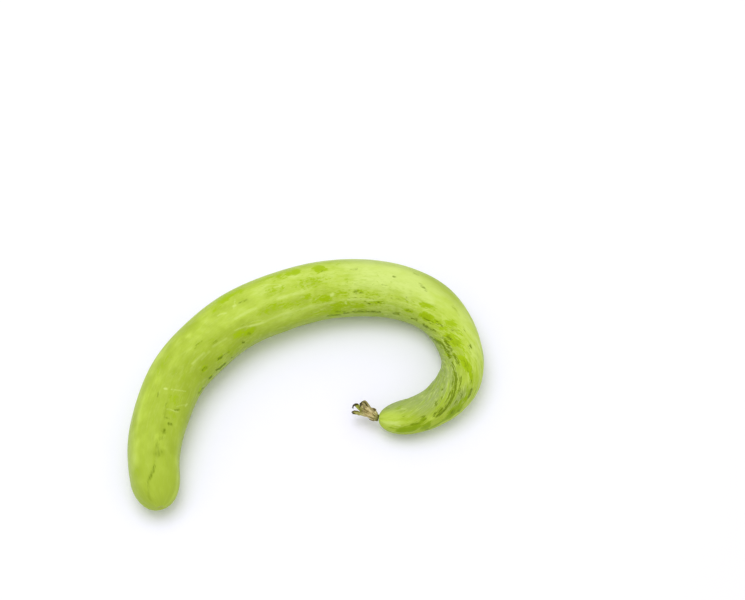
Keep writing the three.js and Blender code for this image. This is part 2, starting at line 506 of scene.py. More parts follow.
def nearest_on_path(path, girth):
    """How far each point of the skin is from a path, and on which side of it it lies."""
    best = np.full(len(along), FAR_OFF)
    side = np.zeros(len(along))
    for (s0, a0), (s1, a1) in zip(path, path[1:]):
        off_along = along - s0 * MM
        off_round = turned_from(angle, a0) * girth
        step_along = (s1 - s0) * MM
        step_round = math.radians(a1 - a0) * girth
        square = step_along ** 2 + step_round ** 2
        part = np.clip((off_along * step_along + off_round * step_round) / square, 0, 1)
        distance = np.hypot(off_along - part * step_along, off_round - part * step_round)
        nearer = distance < best
        best = np.where(nearer, distance, best)
        turn = np.sign(step_along * off_round - step_round * off_along)
        side = np.where(nearer, turn, side)
    return best, side


crease_distance, crease_side = nearest_on_path(CREASE, GIRTH)
swelling = mound(crease_distance - SWELLING_OFF, SWELLING_WIDTH) * (crease_side > 0)
crease = SWELLING_HEIGHT * swelling - CREASE_DEPTH * mound(crease_distance, CREASE_WIDTH)
crease *= rise(3, 16) * (1 - rise(24, 50))

puckers = np.exp((along - FRUIT_LENGTH) / PUCKER_REACH)
puckers *= 0.5 + 0.5 * np.cos(PUCKER_COUNT * pattern_angle + 1)
unevenness = WAVE_HEIGHT * bumps(skin_place, 30, 55, 5) + DENT_HEIGHT * bumps(skin_place, 9, 14, 6)

fullness = fullness_at(along)
radius = body_radius(along) * fullness
radius += (ribs + folds + unevenness + crease) * smoothstep(fullness, 0.15, 0.8)
radius -= PUCKER_DEPTH * puckers * smoothstep(fullness, 0.05, 0.5)
radius = np.maximum(radius, 0)
print("the crease is", round(-crease.min() / MM, 2), "mm deep")

# %% [markdown]
# ## Bend it and lay it down
#
# The sculpted fruit is now bent along its course. The scar of the stalk is pressed in at the stem
# end, with a low rim around it. The fruit's middle runs as high as the fruit is thick, less the
# little that its weight flattens, and whatever would be under the table is pushed up to it. The
# packed fruit's box says where it lies.

# %% Bend the fruit into its place
REST_SINK = 0.6 * MM            # how much the table flattens the underside
PIT_DEPTH = 0.5 * MM
PIT_EDGE = (0.6 * MM, 2.2 * MM)
RIM_HEIGHT = 0.3 * MM
RIM_RADIUS = 3.2 * MM
RIM_WIDTH = 0.9 * MM
SCAR_REACH = 8 * MM


def fruit_height(distance):
    return body_radius(distance) - REST_SINK


pit = PIT_DEPTH * (1 - smoothstep(radius, *PIT_EDGE))
rim = RIM_HEIGHT * mound(radius - RIM_RADIUS, RIM_WIDTH)
scar = (pit - rim) * (along < SCAR_REACH)
height = np.maximum(fruit_height(along) + radius * np.cos(angle), 0)
placed = bent((0, 0), HEADINGS, STATION_STEP, along + scar, radius * np.sin(angle), height)
fruit_low, fruit_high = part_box("fruit")
packed_middle = np.array((fruit_low + fruit_high) / 2)
own_middle = (placed.min(axis=0) + placed.max(axis=0)) / 2
fruit_start = (packed_middle - own_middle)[:2]
placed[:, :2] += fruit_start
move_points(fruit_mesh, placed)
print("the stem end starts at, in mm:", [round(x / MM, 1) for x in fruit_start])

# %% [markdown]
# ## Painting the skin
#
# The finest grain is left to the material. Everything larger has a place of its own on a fruit, so
# it is painted on the points of the mesh, each kind in its own attribute that the material reads.
# A map painted by hand would do as well, but paint on the points needs no image and can't slide.
# A place is written as millimetres from the stem end and degrees around, and the places are listed
# from the stem end to the tip.
#
# First come the broad areas. The skin is a full yellow-green at the stem end and pales over the
# crown of the arch. Some pale areas are painted light: a highlight along the outer rim of the hook
# and near its tip, and light on the inner flank of the bend.

# %% Paint the pale areas and the painted light
# each area: along, around, length and width round the fruit in mm, amount
# those on the inner flank, from 192 to 298 mm at 58 to 90 degrees, are painted light, and those at 365
# mm, -72 degrees and at 445 to 449 mm near -50 degrees are painted highlights
PALE_AND_LIT_AREAS = [
    (30, 70, 50, 14, 0.35), (35, -45, 20, 10, 0.25), (45, 12, 5, 4, 0.35), (50, -55, 110, 22, 0.35),
    (60, -36, 18, 6, 0.3), (60, 48, 10, 6, 0.2), (72, -31, 10, 6, 0.25), (90, -20, 12, 6, 0.3),
    (90, -110, 80, 24, 0.3), (106, -8, 14, 6, 0.2), (106, -45, 16, 8, 0.3), (120, 10, 20, 6, 0.15),
    (127, -13, 6, 5, 0.4), (136, -3, 9, 5, 0.35), (140, -5, 50, 24, 0.25), (143, -5, 6, 5, 0.4),
    (160, 16, 24, 8, 0.45), (170, 26, 22, 4, 0.35), (188, -8, 14, 10, 0.4), (192, 58, 60, 16, 0.3),
    (194, 0, 8, 6, 0.3), (205, 2, 84, 32, 0.55), (206, 62, 30, 8, 0.4), (213, 26, 30, 3, 0.4),
    (230, -105, 140, 26, 0.45), (245, 74, 24, 6, 0.2), (252, 57, 30, 3, 0.3), (262, 3, 20, 3, 0.4),
    (280.5, 13, 9, 8, 0.5), (290, -2, 112, 42, 1.0), (290, 60, 30, 12, 0.45), (294, 8, 12, 10, 0.7),
    (298, 90, 76, 14, 0.5), (300, 180, 320, 60, 0.5), (300, -8, 14, 9, 0.5), (312, 14, 10, 8, 0.4),
    (352, 46, 20, 6, 0.35), (356, -38, 60, 32, 0.7), (365, -72, 60, 20, 0.5), (372, 38, 12, 8, 0.3),
    (388, -30, 18, 8, 0.35), (400, -120, 60, 24, 0.4), (423, -52, 8, 6, 0.4), (430, 15, 20, 10, 0.3),
    (445, -46, 18, 6, 0.95), (446, -6, 24, 20, 0.3), (447, -28, 14, 10, 0.5), (449, -60, 10, 10, 0.6),
    (450, -10, 16, 18, 0.3),
]


def soft_oval(place, around, length, width, ribwise=False):
    """1 in the middle of an oval, fading softly to 0 outside it. Ribwise, it winds as the ribs."""
    off_along = (along - place * MM) / (length / 2 * MM)
    wound = twist_at(along) - twist_at(place * MM) if ribwise else 0
    off_round = turned_from(angle + wound, around) * GIRTH / (width / 2 * MM)
    return np.exp(-(off_along ** 2 + off_round ** 2) ** 1.5)


def painted_areas(areas):
    """Several soft ovals laid over each other, as thin coats of paint."""
    bare = np.ones(len(along))
    for *oval, amount in areas:
        bare *= 1 - np.clip(amount * soft_oval(*oval), 0, 1)
    return 1 - bare


pale_and_lit = painted_areas(PALE_AND_LIT_AREAS)
print("paleness reaches", round(pale_and_lit.max(), 2))

# %% [markdown]
# ## Grey and dull skin, and painted shade
#
# The inner side of the hook is greyish, and so is the skin where the fruit turns under. This grey
# is partly the skin's own bloom and partly painted shade on the inner side and along the top edge,
# and painted reflection of the white room along the rims near the stem end. Small dull areas are a
# shade darker; those beside the crease at the stem end and along the top edge of the bend are
# painted shade.

# %% Paint the grey and the dull areas, and the painted shade
# columns as for the pale areas
# grey on the inner side of the bend and the hook, and along the outer top edge at 268 mm, is painted
# shade; at 35, 40 and 85 mm it is painted reflection of the room along the rims
GREY_AND_SHADE_AREAS = [
    (35, 84, 50, 10, 0.3), (40, -66, 90, 18, 0.4), (85, 92, 70, 12, 0.3), (140, 104, 120, 16, 0.4),
    (160, -140, 120, 20, 0.3), (240, 112, 110, 12, 0.4), (268, -36, 70, 10, 0.4),
    (300, 106, 90, 24, 0.4), (300, 75, 60, 16, 0.12), (330, -130, 90, 20, 0.35),
    (350, 105, 60, 24, 0.75), (380, 68, 50, 26, 0.75), (400, 36, 46, 26, 0.9), (400, 90, 90, 40, 0.5),
    (402, -46, 20, 14, 0.7), (414, 8, 34, 20, 0.9), (423, -20, 18, 14, 0.5), (432, 40, 44, 30, 0.8),
    (436, 12, 26, 20, 0.3), (446, 40, 18, 22, 0.75),
]
# the dull areas beside the crease, from 8 to 66 mm, and along the top edge at 205, 318 and 346 mm are
# painted shade
DULL_AND_SHADE_AREAS = [
    (8, -40, 14, 12, 0.4), (22, -40, 10, 10, 0.5), (33, 17, 8, 12, 0.5), (38, 52, 14, 12, 0.3),
    (53, 21, 10, 5, 0.4), (57, -47, 12, 6, 0.5), (66, 21, 14, 4, 0.35), (70, 76, 14, 14, 0.3),
    (72, -8, 10, 6, 0.2), (84, 60, 16, 16, 0.25), (86, -42, 10, 6, 0.3), (93, 43, 14, 14, 0.25),
    (97, -22, 12, 8, 0.35), (97, 8, 8, 6, 0.35), (107, -14, 14, 6, 0.3), (108, 22, 24, 4, 0.35),
    (112, 62, 34, 20, 0.5), (112, -33, 8, 4, 0.3), (122, 50, 20, 10, 0.3), (126, 14, 8, 6, 0.4),
    (133, -30, 16, 14, 0.3), (136, 31, 14, 8, 0.35), (140, -2, 10, 5, 0.25), (148, 76, 24, 10, 0.4),
    (158, 85, 14, 8, 0.35), (160, 55, 24, 10, 0.45), (178, 88, 10, 8, 0.3), (188, 42, 24, 10, 0.4),
    (198, 8, 18, 10, 0.2), (200, 92, 30, 8, 0.4), (205, -36, 90, 10, 0.35), (213, 43, 20, 8, 0.4),
    (225, 14, 20, 8, 0.3), (268, 90, 26, 6, 0.4), (277, 103, 14, 8, 0.4), (300, 60, 30, 20, 0.1),
    (318, -44, 44, 20, 0.6), (346, -60, 24, 5, 0.4),
]

grey_and_shade = painted_areas(GREY_AND_SHADE_AREAS)
dull_and_shade = painted_areas(DULL_AND_SHADE_AREAS)
print("greyness reaches", round(grey_and_shade.max(), 2), "and dullness", round(dull_and_shade.max(), 2))

# %% [markdown]
# ## Calm and streaky skin
#
# The skin is calm at the stem end and streaky in the hook. How streaky it is decides later how
# much of the fine noise shows, and how crisp the edges of the marks are.

# %% Paint where the skin is streaky
LEAST_STREAKY = 0.12
# columns as for the pale areas
STREAKY_AREAS = [
    (70, 10, 60, 70, 0.12), (132, 15, 100, 70, 0.25), (140, 88, 120, 14, 0.5), (212, -12, 80, 24, 0.4),
    (250, 44, 110, 36, 0.6), (275, 78, 120, 18, 0.7), (300, 180, 320, 60, 0.5), (345, 60, 80, 30, 0.8),
    (362, 22, 40, 26, 0.8), (394, 5, 80, 60, 0.9), (402, -60, 40, 24, 0.9), (438, -60, 30, 30, 0.6),
]

streaky = LEAST_STREAKY + (1 - LEAST_STREAKY) * painted_areas(STREAKY_AREAS)
print("the calmest place is", round(streaky.min(), 2), "streaky")

# %% [markdown]
# ## Green patches
#
# Green patches run along the ribs, most of them in the hook and on the inner side of the bend. The
# ones on the upper side are placed one by one. On the back and underneath, where no one of them
# stands out, patches of the same kind are strewn by a seeded draw.

# %% Paint the patches
# each patch: along, around, length and width round the fruit in mm, strength
PATCHES = [
    # the stem end
    (22, -42, 10, 9, 0.35), (54, -43, 7, 3, 0.4),
    # the rising half
    (65, 36, 6, 9, 0.4), (77, 32, 11, 11, 0.5), (97, -23, 12, 7, 0.5), (97, 8, 7, 4, 0.4),
    (98, 86, 9, 7, 0.8), (105, -17, 10, 5, 0.4), (115, 57, 10, 5, 0.7), (116, 88, 8, 6, 0.6),
    (127, 14, 7, 4, 0.4), (131, 91, 11, 7, 0.7), (132, 66, 9, 5, 0.65), (136, 30, 9, 6, 0.3),
    (140, 70, 9, 4, 0.5), (155, -20, 12, 9, 0.45), (156, 53, 14, 6, 0.8), (165, 61, 13, 6, 0.95),
    (165, -33, 13, 11, 1.2), (172, 2, 9, 3, 0.35), (175, -26, 9, 8, 0.6),
    # the crown
    (190, 39, 28, 9, 0.5), (196, -31, 14, 6, 0.6), (198, 8, 18, 8, 0.5), (205, 45, 24, 7, 0.5),
    (206, -17, 13, 5, 0.6), (206, -24, 10, 4, 0.6), (212, -22, 8, 5, 0.75), (217, -21, 8, 7, 1.15),
    (219, 39, 11, 4, 0.6), (226, 12, 30, 9, 0.5), (226, 48, 15, 7, 0.5), (228, 78, 20, 8, 0.4),
    (233, -16, 9, 8, 1.25), (233, -10, 12, 4, 0.6), (234, 50, 13, 5, 1.0), (237, -11, 6, 4, 0.8),
    (240, 98, 14, 5, 0.9), (243, 80, 12, 8, 0.85), (243, 89, 15, 7, 0.9), (246, 69, 20, 7, 0.85),
    (246, 44, 20, 6, 0.45), (250, -27, 24, 8, 0.3), (252, 18, 3, 8, 0.3), (262, 72, 22, 5, 0.65),
    (262, 41, 8, 4, 0.6), (262, 91, 20, 3, 0.55), (272, 47, 28, 6, 0.35), (275.5, 12, 2, 8, 0.3),
    (276, 63, 18, 4, 0.75), (279, 104, 14, 8, 0.5), (286.5, 13, 2.5, 8, 0.35),
    # the bend of the hook
    (305, 44, 20, 4, 0.35), (307, 65, 11, 4, 0.9), (318, 29, 8, 4, 0.4), (321, 32, 16, 6, 0.8),
    (327, 52, 16, 8, 1.25), (332, 42, 8, 5, 0.5), (335, 47, 8, 4, 0.9), (339, 37, 9, 5, 0.75),
    (345, 12, 9, 7, 1.1), (346, 35, 8, 6, 0.85), (347, 20, 7, 4, 0.6), (355, 2, 7, 6, 0.75),
    (355, 26, 9, 8, 1.15), (357, 41, 10, 4, 0.7), (359, 14, 7, 6, 0.7), (362, 16, 9, 10, 1.25),
    (368, 4, 10, 4, 0.7), (372, 42, 12, 4, 0.8), (374, 20, 9, 4, 0.7), (378, 0, 10, 9, 1.2),
    (381, -12, 9, 10, 1.35), (384, -25, 7, 5, 1.0), (387, -37, 9, 4, 0.85), (394, -60, 5, 4, 0.6),
    # the hook's end
    (400, -68, 5, 4, 0.6), (402, -16, 18, 4, 0.35), (403, -78, 6, 7, 0.9), (409, -72, 8, 11, 1.2),
    (417, -50, 6, 5, 0.5), (426, -77, 7, 11, 1.15), (427, -49, 5, 5, 1.0), (432, -57, 5, 4, 0.6),
    (434, -75, 8, 9, 1.2), (436, -59, 12, 3, 0.6), (437, -7, 11, 3, 0.5), (440, -78, 8, 10, 1.3),
    (441, 9, 9, 6, 0.6), (446, -71, 6, 4, 0.6),
]
STREWN_PATCHES = 150
STREWN_LENGTH = 14
STREWN_WIDTH = 5.5
RANDOM_SEED = 11


def strewn_patches(count, seed):
    draw = np.random.default_rng(seed)
    patches = []
    for _ in range(count):
        size = draw.uniform(0.5, 1.3)
        place = draw.triangular(90, 400, 448)
        around = draw.uniform(118, 300)
        strength = draw.uniform(0.4, 1.0)
        patches.append((place, around, STREWN_LENGTH * size, STREWN_WIDTH * size, strength))
    return patches


green_patch = np.zeros(len(along))
for *oval, strength in PATCHES + strewn_patches(STREWN_PATCHES, RANDOM_SEED):
    green_patch = np.maximum(green_patch, strength * soft_oval(*oval, ribwise=True))
print("painted", len(PATCHES) + STREWN_PATCHES, "patches")

# %% [markdown]
# ## Strokes and scratches
#
# Dark dashes and specks, and pale ridges and scratches, are strokes of a brush. Each follows a
# path of places, as the crease does, and fades softly to its sides. They too are strewn on the
# back and underneath. Some dark strokes are painted shade: those along the crease at the stem end,
# and a wide one on the inner side of the hook.

# %% The dark strokes
# each stroke: its path of (along, around), its width in mm, its strength
DARK_STROKES = [
    # the stem end, where the strokes along the crease darken it as painted shade
    ([(4, -36), (8, -25), (12.5, -20), (15.5, -10)], 4.0, 0.55),
    ([(15, -11), (19.5, 0), (23, 5)], 2.9, 0.8), ([(23, 5), (26, 8), (29, 10)], 3.0, 0.42),
    ([(32, 14), (33, 22)], 6.5, 0.6), ([(34, 15), (38, 13.5), (42, 15), (44, 20), (45, 25)], 3.8, 0.55),
    ([(45, 19), (54, 20), (61, 21)], 3.0, 0.4), ([(49, 26), (51, 27)], 3.2, 0.85),
    ([(57, 33), (57.6, 38)], 2.6, 0.95),
    # the rising half
    ([(61, 20), (61, 30)], 2.2, 0.65), ([(62, 20), (70, 17), (80, 19)], 2.6, 0.5),
    ([(69, 38), (71.5, 47)], 2.0, 0.75), ([(74.5, -4), (78, -5.5)], 1.5, 0.7),
    ([(95, 8), (99, 9)], 3.4, 0.35), ([(96, 83), (99, 89), (102, 91)], 2.6, 0.8),
    ([(100, 22), (110, 24), (118, 27), (128, 30)], 2.0, 0.32), ([(102, 89), (105, 93)], 2.4, 0.9),
    ([(109, 58), (112, 59)], 3.0, 0.4), ([(112.5, 56), (117.5, 58)], 2.6, 0.8),
    ([(114.5, 86), (117.5, 88)], 2.4, 1.25), ([(118, 66), (124, 72)], 3.0, 0.3),
    ([(121, 16), (124.5, 12), (128.5, 15)], 2.4, 0.6), ([(124.5, 84), (127, 88), (129, 91)], 2.2, 1.05),
    ([(130, 66), (134, 68)], 2.8, 0.8), ([(130, 88), (134, 91)], 3.2, 0.95),
    ([(134, 34), (138, 35)], 2.8, 0.6), ([(135, 68), (141, 70)], 2.6, 0.7),
    ([(141.5, 90), (144, 96)], 2.0, 0.7), ([(155.8, 74), (157, 76)], 2.4, 0.95),
    ([(160, 41), (166, 44)], 1.4, 0.45), ([(163.4, 64.5), (164.8, 65.5)], 3.2, 0.7),
    ([(166, 43), (172, 46), (180, 51)], 1.4, 0.45), ([(170, 1), (176, 3)], 2.6, 0.6),
    # the crown
    ([(196, 88), (204, 91)], 3.0, 0.3), ([(213, 93), (216.5, 97)], 1.8, 0.65),
    ([(235, 96), (245, 98)], 4.0, 0.75), ([(235, -7), (237, -6)], 2.2, 0.55),
    ([(243, 84), (249, 87)], 4.0, 0.5), ([(249, 94), (252.5, 92)], 3.2, 0.8),
    ([(251.3, 19), (251.8, 25)], 2.4, 0.4), ([(253, 54), (262, 55), (270, 54), (278, 50)], 2.2, 0.45),
    ([(256, -6), (260, -7)], 3.0, 0.6), ([(256, 89), (264, 89), (280, 88)], 2.8, 0.8),
    ([(258, 41), (264, 42)], 2.6, 0.6), ([(258, 83), (266, 84)], 1.6, 0.45),
    ([(266, 63), (268, 64)], 3.2, 0.4), ([(270, 67), (277, 62), (285, 57)], 3.2, 0.42),
    ([(272, 27), (283, 24)], 1.3, 0.42), ([(286, 3), (286, 16)], 1.4, 0.35),
    ([(286, 49), (295, 46), (305, 44)], 1.5, 0.45), ([(286, 97), (291, 99)], 2.0, 0.5),
    ([(287, 2), (288, 2.5)], 2.6, 0.8), ([(288.5, 33), (291, 31)], 1.6, 0.4),
    ([(290, 27), (293.5, 22)], 2.0, 0.45), ([(292.5, 85), (297.5, 82)], 2.6, 0.8),
    ([(299.5, -25), (302.5, -25)], 3.0, 0.62),
    # the bend of the hook
    ([(301, 38.5), (301.6, 39.5)], 2.4, 0.55), ([(304, 66), (309, 64)], 2.4, 0.5),
    ([(307, -3), (310, 1), (313, 4)], 2.8, 0.7), ([(312, 82), (318.5, 77)], 2.6, 0.75),
    ([(322, 60), (330, 58), (337, 50)], 2.0, 0.55), ([(328.5, 76), (333, 73)], 3.2, 1.0),
    ([(330.5, -28), (334.5, -28)], 2.4, 0.42), ([(333, 73), (338, 66), (343, 57)], 2.4, 0.7),
    ([(334, -16), (338, -18), (342, -18)], 2.4, 0.55), ([(336, 41), (341, 37), (344, 33)], 1.8, 0.6),
    ([(338, 45), (345, 38)], 1.6, 0.5), ([(340, 92), (344, 85), (348, 76), (352, 67)], 3.0, 0.9),
    ([(344, 98), (350, 86)], 1.8, 0.5), ([(350, 76), (354, 69), (359, 63)], 2.2, 0.65),
    ([(351, -16), (355, -15)], 1.8, 0.42), ([(351, 15), (352, 13)], 2.4, 0.5),
    ([(351.5, 7), (353, 5)], 2.4, 0.45), ([(352, 67), (355, 60), (359, 55)], 2.8, 0.85),
    ([(352, 48), (357, 43), (362, 39), (368, 33)], 2.6, 0.85), ([(354, 32), (358, 29)], 2.6, 0.7),
    ([(359, 55), (364, 50), (368, 45)], 2.6, 0.9), ([(362, 84), (370, 68)], 1.8, 0.45),
    ([(363, 18), (364, 14)], 3.0, 0.45), ([(365.5, -20), (367, -20)], 3.0, 0.65),
    ([(368, 44), (372, 41), (375, 37)], 3.0, 1.05), ([(372.5, 27), (376, 21), (381, 11)], 2.8, 0.85),
    ([(376, 66), (384, 50)], 2.0, 0.5), ([(378, -4), (381, -10)], 5.0, 0.4),
    ([(380.5, 27), (386, 18), (391, 11), (395, 3)], 2.2, 0.7), ([(384, 30), (385.5, 28)], 2.6, 0.5),
    ([(384, -33), (387, -37), (389, -42)], 2.6, 0.5), ([(384, 52), (392, 34)], 1.8, 0.45),
    # the wide faint stroke from 390 mm at 60 degrees is painted shade on the inner side of the hook,
    # broken into streaks
    ([(390, 60), (402, 54), (414, 44)], 10, 0.3), ([(390.5, 6), (394, -4), (398, -15)], 2.4, 1.0),
    ([(391, -10), (394, -18), (396, -24)], 2.2, 0.7), ([(392, -57), (396, -66)], 2.6, 0.8),
    ([(396, 0), (401, -13), (404, -18)], 2.0, 0.7), ([(396, 30), (402, 16)], 1.8, 0.42),
    ([(397, -26), (401, -36)], 1.8, 0.6), ([(398, -15), (403, -27), (407.5, -37)], 2.6, 0.85),
    ([(398, -38), (401, -48)], 2.2, 0.6),
    # the hook's end
    ([(402, 10), (404, 4)], 1.8, 0.4), ([(404, -18), (406, -22), (410, -31)], 1.8, 0.75),
    ([(404, -46), (405, -56)], 2.2, 0.6), ([(404, 45), (410, 28)], 1.8, 0.42),
    ([(405, -80), (404, -90)], 2.6, 0.6), ([(406.3, 1), (407, 4)], 2.2, 0.65),
    ([(408, -38), (411.5, -43)], 3.0, 0.95), ([(409, 27), (414, 19)], 2.6, 0.45),
    ([(409, -67), (409, -76)], 3.0, 0.6), ([(410.5, -13), (411, -16)], 2.0, 0.6),
    ([(411, 44), (413.5, 34)], 2.0, 0.5), ([(412, -47), (416, -53), (418, -55)], 2.6, 1.0),
    ([(413.5, -40), (415, -42)], 2.4, 0.75), ([(415.5, -16), (416.5, -22)], 2.6, 0.75),
    ([(416, -43), (419, -45), (420, -50)], 2.2, 0.9), ([(425, -41), (427.5, -39)], 2.2, 0.6),
    ([(425, -49), (428, -50)], 3.0, 0.5), ([(426, -72), (426, -80)], 2.6, 0.4),
    ([(430, -56), (434, -58)], 2.6, 0.55), ([(433, -5), (441, -7)], 2.4, 0.45),
    ([(438, -23), (438.5, -27)], 2.6, 0.42), ([(444, 30), (445, 50)], 1.6, 0.5),
    ([(448, 22), (449.5, 34), (450, 48)], 1.8, 0.6),
]
print("there are", len(DARK_STROKES), "dark strokes")

# %% The pale strokes
# columns as for the dark strokes
PALE_STROKES = [
    # the rising half
    ([(67.5, 20), (68, 32), (69, 46)], 1.5, 0.62), ([(72, 38), (75, 47), (77.5, 56)], 1.4, 0.48),
    ([(77, 59), (79.5, 62)], 2.2, 0.6), ([(81.5, 22), (84, 24)], 1.4, 0.45),
    ([(81.8, 4), (82, 7.5)], 2.2, 0.8), ([(83, 17), (84.5, 30), (87, 46)], 1.5, 0.58),
    ([(110, 31), (117, 33), (123.5, 35)], 3.0, 0.5), ([(118, 41), (128, 40)], 2.6, 0.4),
    ([(132, 38), (145, 44)], 2.8, 0.45), ([(151, -2), (154, -1), (157.5, 5)], 1.8, 0.6),
    ([(154, 42), (163, 47), (168, 52)], 2.0, 0.52), ([(160, 24), (170, 25), (179, 26)], 3.4, 0.5),
    ([(164, 5), (166, 0), (169, -11)], 1.6, 0.6), ([(165, 1), (166.2, 1)], 2.6, 0.75),
    ([(168, 52), (174, 56), (180, 58)], 2.4, 0.7), ([(168, 45), (176, 49), (182, 56)], 1.5, 0.45),
    # the crown
    ([(180, 58), (196, 57), (206, 60)], 3.0, 0.5), ([(191, -15), (196, -10), (203, 0)], 1.8, 0.55),
    ([(197, 26), (208, 26), (218, 29)], 3.4, 0.48), ([(198, 1), (203, 3)], 1.8, 0.6),
    ([(208, 60), (222, 60), (241, 60)], 3.0, 0.5), ([(239, 45), (240.5, 43)], 2.8, 0.95),
    ([(243, 79), (245, 81)], 1.8, 0.3), ([(244, 2), (258, 4), (272, 3)], 1.5, 0.42),
    ([(250.3, 62), (250.8, 66)], 2.4, 0.7), ([(252, 57), (262, 57), (276, 57)], 2.4, 0.58),
    ([(268, 58), (273, 58)], 2.8, 0.75), ([(283, 1), (292, -6), (304, -14)], 2.2, 0.42),
    ([(296, 53), (304, 50), (311, 50)], 1.6, 0.45),
    # the bend of the hook
    ([(303, 31), (308, 27), (313, 24)], 3.0, 0.42),
    ([(311, 50), (317, 44), (327, 40), (334, 34)], 1.8, 0.45),
    ([(337, 21), (341, 25), (345, 24)], 1.8, 0.4), ([(346, 58), (352, 52), (358, 50)], 2.0, 0.42),
    ([(349, 48), (357, 50), (363, 45)], 2.0, 0.42), ([(364, 36), (368, 30)], 2.0, 0.42),
    ([(376, 48), (386, 36), (396, 18)], 2.0, 0.38), ([(380, 22), (387, 10), (392, -2)], 1.8, 0.42),
    ([(398, 12), (404, -4), (410, -18)], 2.0, 0.38),
    # the hook's end
    ([(436, -3), (439, 2)], 2.2, 0.45), ([(441.5, -57), (444, -55)], 2.2, 0.65),
]
print("there are", len(PALE_STROKES), "pale strokes")

# %% Paint the strokes
STREWN_DARK = 90
STREWN_PALE = 30
CALM_SOFTNESS = 1.4             # how much wider and fainter a dark stroke is where the skin is calm


def strewn_strokes(count, seed):
    """Short strokes that follow the ribs, strewn over the sides that hold no placed mark."""
    draw = np.random.default_rng(seed)
    strokes = []
    for _ in range(count):
        place = draw.uniform(30, 435)
        around = draw.uniform(122, 268)
        length = draw.uniform(1, 9)
        turn = math.degrees(twist_at((place + length) * MM) - twist_at(place * MM))
        width = draw.uniform(1.4, 3.2)
        path = [(place, around), (place + length, around - turn + draw.uniform(-3, 3))]
        strokes.append((path, width, draw.uniform(0.4, 0.9)))
    return strokes


def painted_strokes(strokes, softness):
    """A softness above 1 makes every stroke that much wider and fainter."""
    paint = np.zeros(len(along))
    for path, width, strength in strokes:
        distance, _ = nearest_on_path(path, body_radius(along))
        stroke = mound(distance, width / 2 * MM * softness)
        paint = np.maximum(paint, strength * stroke / softness)
    return paint


all_dark = DARK_STROKES + strewn_strokes(STREWN_DARK, RANDOM_SEED + 1)
all_pale = PALE_STROKES + strewn_strokes(STREWN_PALE, RANDOM_SEED + 2)
dark_stroke = painted_strokes(all_dark, CALM_SOFTNESS - (CALM_SOFTNESS - 1) * streaky)
pale_stroke = painted_strokes(all_pale, 1)
print("painted", len(all_dark), "dark strokes and", len(all_pale), "pale ones")

# %% Give the paint to the mesh
DEEP_FROM = 376                 # mm along, where the patches start to be a deeper green
DEEP_FULL = 412
SCAR_EDGE = (1.4 * MM, 3.0 * MM)


def add_attribute(mesh, name, values):
    if np.ndim(values) == 1:
        layer = mesh.attributes.new(name, "FLOAT", "POINT")
        layer.data.foreach_set("value", np.asarray(values, np.float32))
    else:
        layer = mesh.attributes.new(name, "FLOAT_VECTOR", "POINT")
        layer.data.foreach_set("vector", np.asarray(values, np.float32).ravel())


skin_paint = {
    "skin_place": skin_place,
    "pale_and_lit": pale_and_lit,
    "grey_and_shade": grey_and_shade,
    "dull_and_shade": dull_and_shade,
    "streaky": streaky,
    "deep_green": rise(DEEP_FROM, DEEP_FULL),
    "green_patch": green_patch,
    "dark_stroke": dark_stroke,
    "pale_stroke": pale_stroke,
    "stem_scar": 1 - smoothstep(np.hypot(along, body_radius(along) * fullness), *SCAR_EDGE),
}
for name, values in skin_paint.items():
    add_attribute(fruit_mesh, name, values)
print("the mesh carries", list(skin_paint))

# %% [markdown]
# ## A map for the fruit
#
# To be kept as an image, a skin needs a flat map. The fruit is more than three times as long as it
# is round, so it is unrolled as two strips, the stem half above the tip half, which fills a square
# evenly. The cut runs along the underside.

# %% Unroll the fruit into two strips
MAP_MARGIN = 0.006
STRIP_HEIGHT = 1.03             # a strip with the gap above it, where 1 is the strip alone


def unroll(mesh):
    """Each half of the fruit becomes one strip: u runs along the fruit, v round it."""
    corners = np.empty(len(mesh.loops), int)
    mesh.loops.foreach_get("vertex_index", corners)
    starts = np.empty(len(mesh.polygons), int)
    mesh.polygons.foreach_get("loop_start", starts)
    totals = np.empty(len(mesh.polygons), int)
    mesh.polygons.foreach_get("loop_total", totals)
    face_of_corner = np.repeat(np.arange(len(starts)), totals)
    u = along[corners] / FRUIT_LENGTH
    middle_u = np.add.reduceat(u, starts) / totals
    tip_half = (middle_u > 0.5)[face_of_corner]
    v = angle[corners] / (2 * math.pi) + 0.5
    lowest = np.minimum.reduceat(v, starts)[face_of_corner]
    highest = np.maximum.reduceat(v, starts)[face_of_corner]
    across_cut = highest - lowest > 0.5
    v = np.where(across_cut & (v < 0.5), v + 1, v)
    strip_u = np.where(tip_half, 2 * u - 1, 2 * u)
    strip_v = np.where(tip_half, v, v + STRIP_HEIGHT) / (2 * STRIP_HEIGHT)
    places = np.stack([strip_u, strip_v], axis=1) * (1 - 2 * MAP_MARGIN) + MAP_MARGIN
    layer = mesh.uv_layers.new(name="OFBake")
    layer.data.foreach_set("uv", np.asarray(places, np.float32).ravel())


unroll(fruit_mesh)
print("the map has", len(fruit_mesh.loops), "corners")

# %% [markdown]
# ## Noise that is drawn out along the fruit
#
# Plant skins are streaky, because their cells grow lengthwise. Both the fruit and the dry flower
# need noise that is stretched along one direction, so it is a node group of its own: it takes a
# place, how fine the noise is across and along, and gives a value that varies over the surface.

# %% The streaks node group
STREAK_DETAIL = 3


